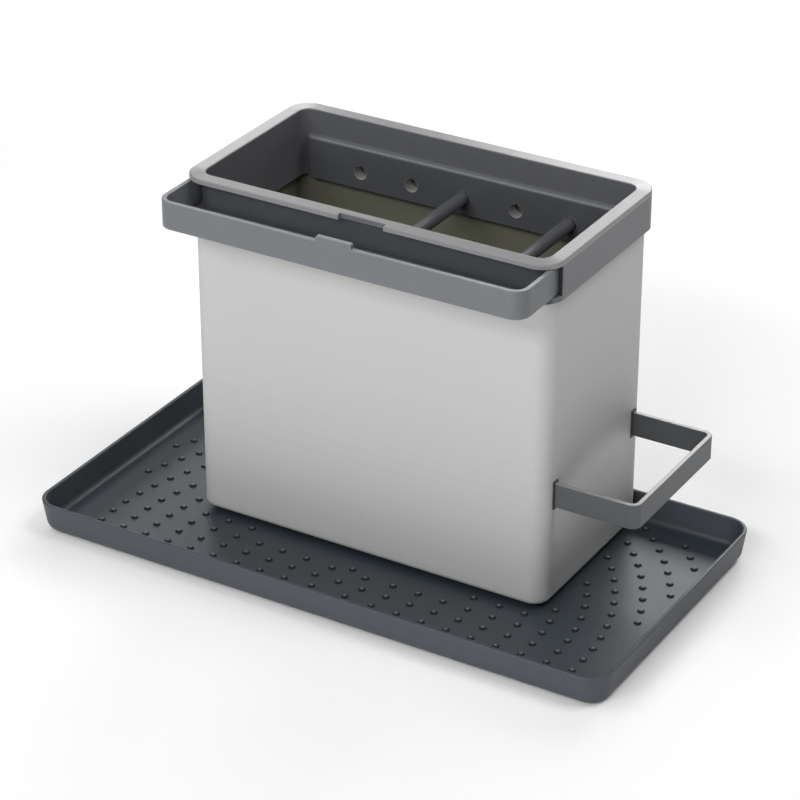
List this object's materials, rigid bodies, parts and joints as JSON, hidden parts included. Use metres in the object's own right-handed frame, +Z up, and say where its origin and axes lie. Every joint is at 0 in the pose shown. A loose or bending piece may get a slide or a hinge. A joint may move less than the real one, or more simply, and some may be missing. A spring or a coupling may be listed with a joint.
{
  "type": "kitchen sink caddy",
  "caption": "Steel box with a plastic collar on a bumped drip tray, with rods that divide the box, a pull-out cloth rail and a pull-out bottle loop.",
  "frame": {"origin": "middle of the tray, at the level that its pads stand on", "axes": "+Z up, +X along the tray towards the bottle loop, -Y towards the front with the cloth rail"},
  "size_m": [0.3258, 0.1678, 0.191],
  "materials": {
    "tray": "fine moulded grain, dark grey",
    "collar": "satin moulded grain, dark grey",
    "strip": "satin, dark grey",
    "rod": "satin, dark grey",
    "rail": "satin moulded grain, dark grey",
    "loop": "satin moulded grain, dark grey",
    "bezel": "satin, dark grey",
    "guide": "smooth, mid grey",
    "plate": "fine moulded grain, dark grey",
    "steel": "satin, finely brushed",
    "pad": "matte, dark grey",
    "foot": "matte, black"
  },
  "bodies": {
    "tray": {"drip_tray": "tray", "tray_pad_front_left": "pad", "tray_pad_front_right": "pad", "tray_pad_back_left": "pad", "tray_pad_back_right": "pad"},
    "caddy": {"steel_box": "steel", "drain_plate": "plate", "box_foot_front_left": "foot", "box_foot_front_right": "foot", "box_foot_back_left": "foot", "box_foot_back_right": "foot", "slot_bezel_front": "bezel", "slot_bezel_back": "bezel", "loop_guide_front": "guide", "loop_guide_back": "guide"},
    "collar": {"collar": "collar", "rod_strip_front": "strip", "rod_strip_back": "strip"},
    "cloth_rail": {"cloth_rail": "rail", "rail_glide_left": "guide", "rail_glide_right": "guide"},
    "bottle_loop": {"bottle_loop": "loop", "loop_stop_front": "guide", "loop_stop_back": "guide"},
    "divider_rod_middle": {"divider_rod_middle": "rod"},
    "divider_rod_right": {"divider_rod_right": "rod"}
  },
  "joints": [
    {"name": "caddy_lift", "type": "slide", "parent": "tray", "child": "caddy", "axis": [0, 0, 1], "range_m": [0, 0.05]},
    {"name": "collar_lift", "type": "slide", "parent": "caddy", "child": "collar", "axis": [0, 0, 1], "range_m": [0, 0.05]},
    {"name": "cloth_rail_slide", "type": "slide", "parent": "collar", "child": "cloth_rail", "axis": [0, -1, 0], "range_m": [-0.0245, 0.0177]},
    {"name": "bottle_loop_slide", "type": "slide", "parent": "caddy", "child": "bottle_loop", "axis": [1, 0, 0], "range_m": [-0.0386, 0]},
    {"name": "divider_rod_middle_shift", "type": "slide", "parent": "collar", "child": "divider_rod_middle", "axis": [0, 1, 0], "range_m": [-0.0036, 0.0036]},
    {"name": "divider_rod_right_shift", "type": "slide", "parent": "collar", "child": "divider_rod_right", "axis": [0, 1, 0], "range_m": [-0.0036, 0.0036]}
  ]
}
